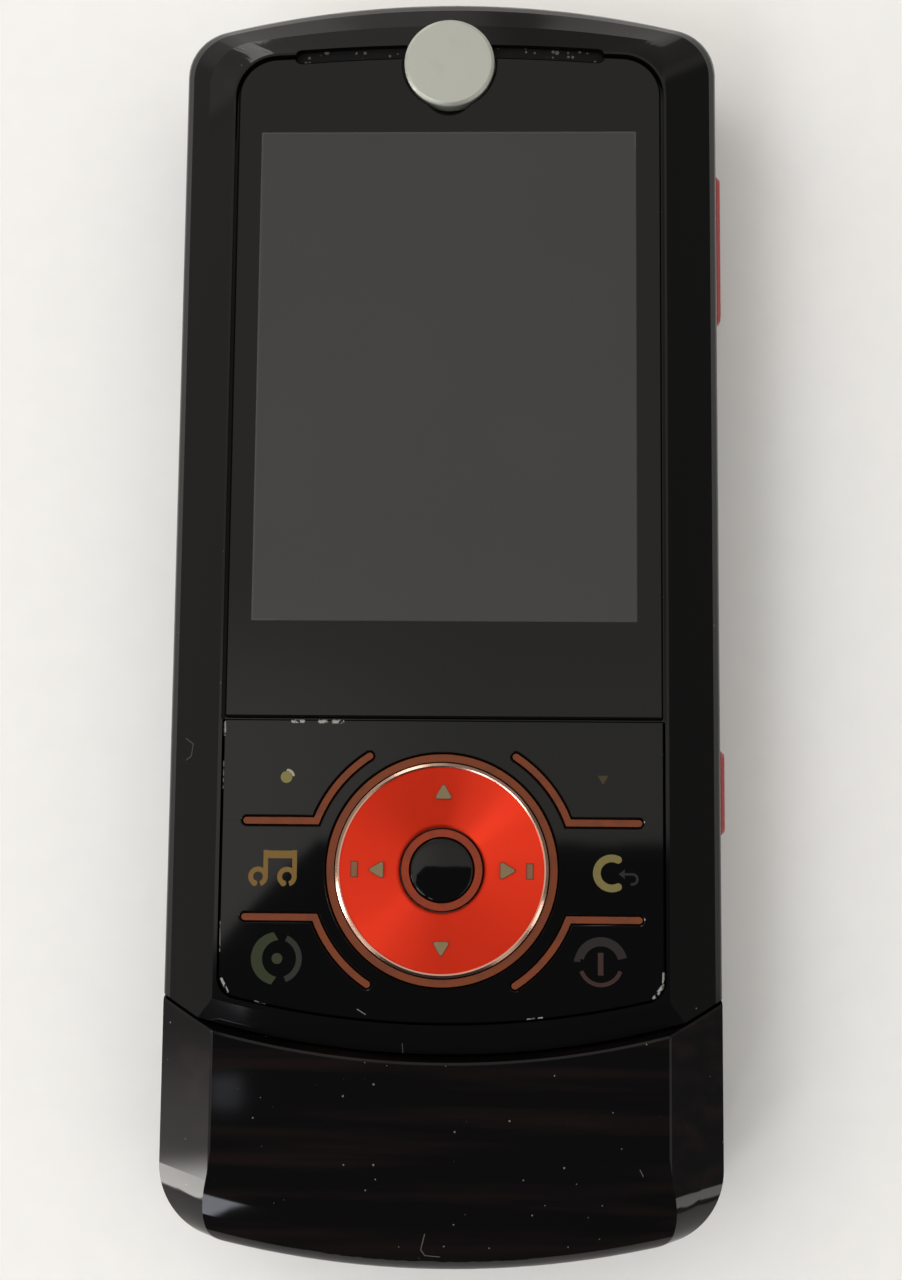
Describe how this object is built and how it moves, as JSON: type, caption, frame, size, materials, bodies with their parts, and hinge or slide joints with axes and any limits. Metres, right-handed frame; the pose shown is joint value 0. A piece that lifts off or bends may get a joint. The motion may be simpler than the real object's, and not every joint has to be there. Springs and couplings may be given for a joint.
{
  "type": "slider phone",
  "caption": "Slider phone: a bevelled display half slides up from a chinned base to uncover a number keypad; ringed control keys, camera behind.",
  "frame": {"origin": "centre of the flat back that the closed phone lies on", "axes": "+Z out of the display, +Y along the phone towards the earpiece, +X towards the side with the volume rocker"},
  "size_m": [0.0469, 0.1072, 0.016],
  "materials": {
    "gloss_black": "gloss",
    "satin_black": "satin",
    "clear_lens": "polished",
    "red_metal": "anodised, turned",
    "red_key": "gloss",
    "amber_guide": "translucent",
    "silver_trim": "satin",
    "number_key": "satin",
    "silicone": "matte",
    "circuit_board": "lacquered",
    "sheet_steel": "brushed",
    "display_glass": "polished",
    "inner_plastic": "matte",
    "card_plastic": "matte",
    "cell_case": "satin",
    "gasket_foam": "matte"
  },
  "bodies": {
    "base": {"base_front_housing": "gloss_black", "chin_cover": "gloss_black", "base_rear_housing": "satin_black", "battery": "cell_case", "battery_contacts": "inner_plastic", "sim_holder": "sheet_steel", "sim_card": "card_plastic", "main_board": "circuit_board", "shield_cans": "sheet_steel", "keypad_mat": "silicone", "usb_socket": "sheet_steel", "headset_jack": "inner_plastic", "loudspeaker": "inner_plastic", "vibration_motor": "sheet_steel", "microphone": "inner_plastic", "antenna": "inner_plastic", "side_switches": "inner_plastic", "slide_guide": "sheet_steel", "housing_screws": "sheet_steel"},
    "slider": {"slider_frame": "gloss_black", "slider_rear_cover": "satin_black", "slide_plate": "sheet_steel", "slide_springs": "sheet_steel", "flex_cable": "inner_plastic", "slider_board": "circuit_board", "slider_key_mat": "silicone", "light_guide": "amber_guide", "display_module": "display_glass", "display_gasket": "gasket_foam", "lens": "clear_lens", "earpiece": "inner_plastic", "earpiece_mesh": "sheet_steel", "round_disc": "silver_trim", "camera_module": "inner_plastic", "camera_windows": "clear_lens", "slider_screws": "sheet_steel"},
    "battery_cover": {"battery_cover": "satin_black"},
    "volume_rocker": {"volume_rocker": "red_key"},
    "side_key": {"side_key": "red_key"},
    "nav_gimbal": {"nav_gimbal": "sheet_steel"},
    "nav_ring": {"nav_ring": "red_metal"},
    "select_key": {"select_key": "gloss_black"},
    "soft_key_left": {"soft_key_left": "gloss_black"},
    "soft_key_right": {"soft_key_right": "gloss_black"},
    "music_key": {"music_key": "gloss_black"},
    "clear_key": {"clear_key": "gloss_black"},
    "send_key": {"send_key": "gloss_black"},
    "end_key": {"end_key": "gloss_black"},
    "key_star": {"key_star": "number_key"},
    "key_0": {"key_0": "number_key"},
    "key_hash": {"key_hash": "number_key"},
    "key_7": {"key_7": "number_key"},
    "key_8": {"key_8": "number_key"},
    "key_9": {"key_9": "number_key"},
    "key_4": {"key_4": "number_key"},
    "key_5": {"key_5": "number_key"},
    "key_6": {"key_6": "number_key"},
    "key_1": {"key_1": "number_key"},
    "key_2": {"key_2": "number_key"},
    "key_3": {"key_3": "number_key"}
  },
  "joints": [
    {"name": "slide_open", "type": "slide", "parent": "base", "child": "slider", "axis": [0, 1, 0], "range_m": [0, 0.036]},
    {"name": "battery_cover_slide", "type": "slide", "parent": "base", "child": "battery_cover", "axis": [0, -1, 0], "range_m": [0, 0.012]},
    {"name": "volume_rock", "type": "hinge", "parent": "base", "child": "volume_rocker", "pos_m": [0.0213, 0.0332, 0.0062], "axis": [0, 0, 1], "range_deg": [-1.2, 1.2], "stiffness_Nm_per_rad": 0.1},
    {"name": "side_key_press", "type": "slide", "parent": "base", "child": "side_key", "axis": [-1, 0, 0], "range_m": [0, 0.00022], "stiffness_N_per_m": 2000},
    {"name": "nav_tilt_up_down", "type": "hinge", "parent": "slider", "child": "nav_gimbal", "pos_m": [0, -0.0217, 0.0137], "axis": [1, 0, 0], "range_deg": [-1.2, 1.2], "stiffness_Nm_per_rad": 0.1},
    {"name": "nav_tilt_left_right", "type": "hinge", "parent": "nav_gimbal", "child": "nav_ring", "pos_m": [0, -0.0217, 0.0137], "axis": [0, 1, 0], "range_deg": [-1.2, 1.2], "stiffness_Nm_per_rad": 0.1},
    {"name": "select_press", "type": "slide", "parent": "slider", "child": "select_key", "axis": [0, 0, -1], "range_m": [0, 0.00022], "stiffness_N_per_m": 2000},
    {"name": "soft_key_left_press", "type": "slide", "parent": "slider", "child": "soft_key_left", "axis": [0, 0, -1], "range_m": [0, 0.00022], "stiffness_N_per_m": 2000},
    {"name": "soft_key_right_press", "type": "slide", "parent": "slider", "child": "soft_key_right", "axis": [0, 0, -1], "range_m": [0, 0.00022], "stiffness_N_per_m": 2000},
    {"name": "music_key_press", "type": "slide", "parent": "slider", "child": "music_key", "axis": [0, 0, -1], "range_m": [0, 0.00022], "stiffness_N_per_m": 2000},
    {"name": "clear_key_press", "type": "slide", "parent": "slider", "child": "clear_key", "axis": [0, 0, -1], "range_m": [0, 0.00022], "stiffness_N_per_m": 2000},
    {"name": "send_key_press", "type": "slide", "parent": "slider", "child": "send_key", "axis": [0, 0, -1], "range_m": [0, 0.00022], "stiffness_N_per_m": 2000},
    {"name": "end_key_press", "type": "slide", "parent": "slider", "child": "end_key", "axis": [0, 0, -1], "range_m": [0, 0.00022], "stiffness_N_per_m": 2000},
    {"name": "key_star_press", "type": "slide", "parent": "base", "child": "key_star", "axis": [0, 0, -1], "range_m": [0, 0.00022], "stiffness_N_per_m": 2000},
    {"name": "key_0_press", "type": "slide", "parent": "base", "child": "key_0", "axis": [0, 0, -1], "range_m": [0, 0.00022], "stiffness_N_per_m": 2000},
    {"name": "key_hash_press", "type": "slide", "parent": "base", "child": "key_hash", "axis": [0, 0, -1], "range_m": [0, 0.00022], "stiffness_N_per_m": 2000},
    {"name": "key_7_press", "type": "slide", "parent": "base", "child": "key_7", "axis": [0, 0, -1], "range_m": [0, 0.00022], "stiffness_N_per_m": 2000},
    {"name": "key_8_press", "type": "slide", "parent": "base", "child": "key_8", "axis": [0, 0, -1], "range_m": [0, 0.00022], "stiffness_N_per_m": 2000},
    {"name": "key_9_press", "type": "slide", "parent": "base", "child": "key_9", "axis": [0, 0, -1], "range_m": [0, 0.00022], "stiffness_N_per_m": 2000},
    {"name": "key_4_press", "type": "slide", "parent": "base", "child": "key_4", "axis": [0, 0, -1], "range_m": [0, 0.00022], "stiffness_N_per_m": 2000},
    {"name": "key_5_press", "type": "slide", "parent": "base", "child": "key_5", "axis": [0, 0, -1], "range_m": [0, 0.00022], "stiffness_N_per_m": 2000},
    {"name": "key_6_press", "type": "slide", "parent": "base", "child": "key_6", "axis": [0, 0, -1], "range_m": [0, 0.00022], "stiffness_N_per_m": 2000},
    {"name": "key_1_press", "type": "slide", "parent": "base", "child": "key_1", "axis": [0, 0, -1], "range_m": [0, 0.00022], "stiffness_N_per_m": 2000},
    {"name": "key_2_press", "type": "slide", "parent": "base", "child": "key_2", "axis": [0, 0, -1], "range_m": [0, 0.00022], "stiffness_N_per_m": 2000},
    {"name": "key_3_press", "type": "slide", "parent": "base", "child": "key_3", "axis": [0, 0, -1], "range_m": [0, 0.00022], "stiffness_N_per_m": 2000}
  ]
}
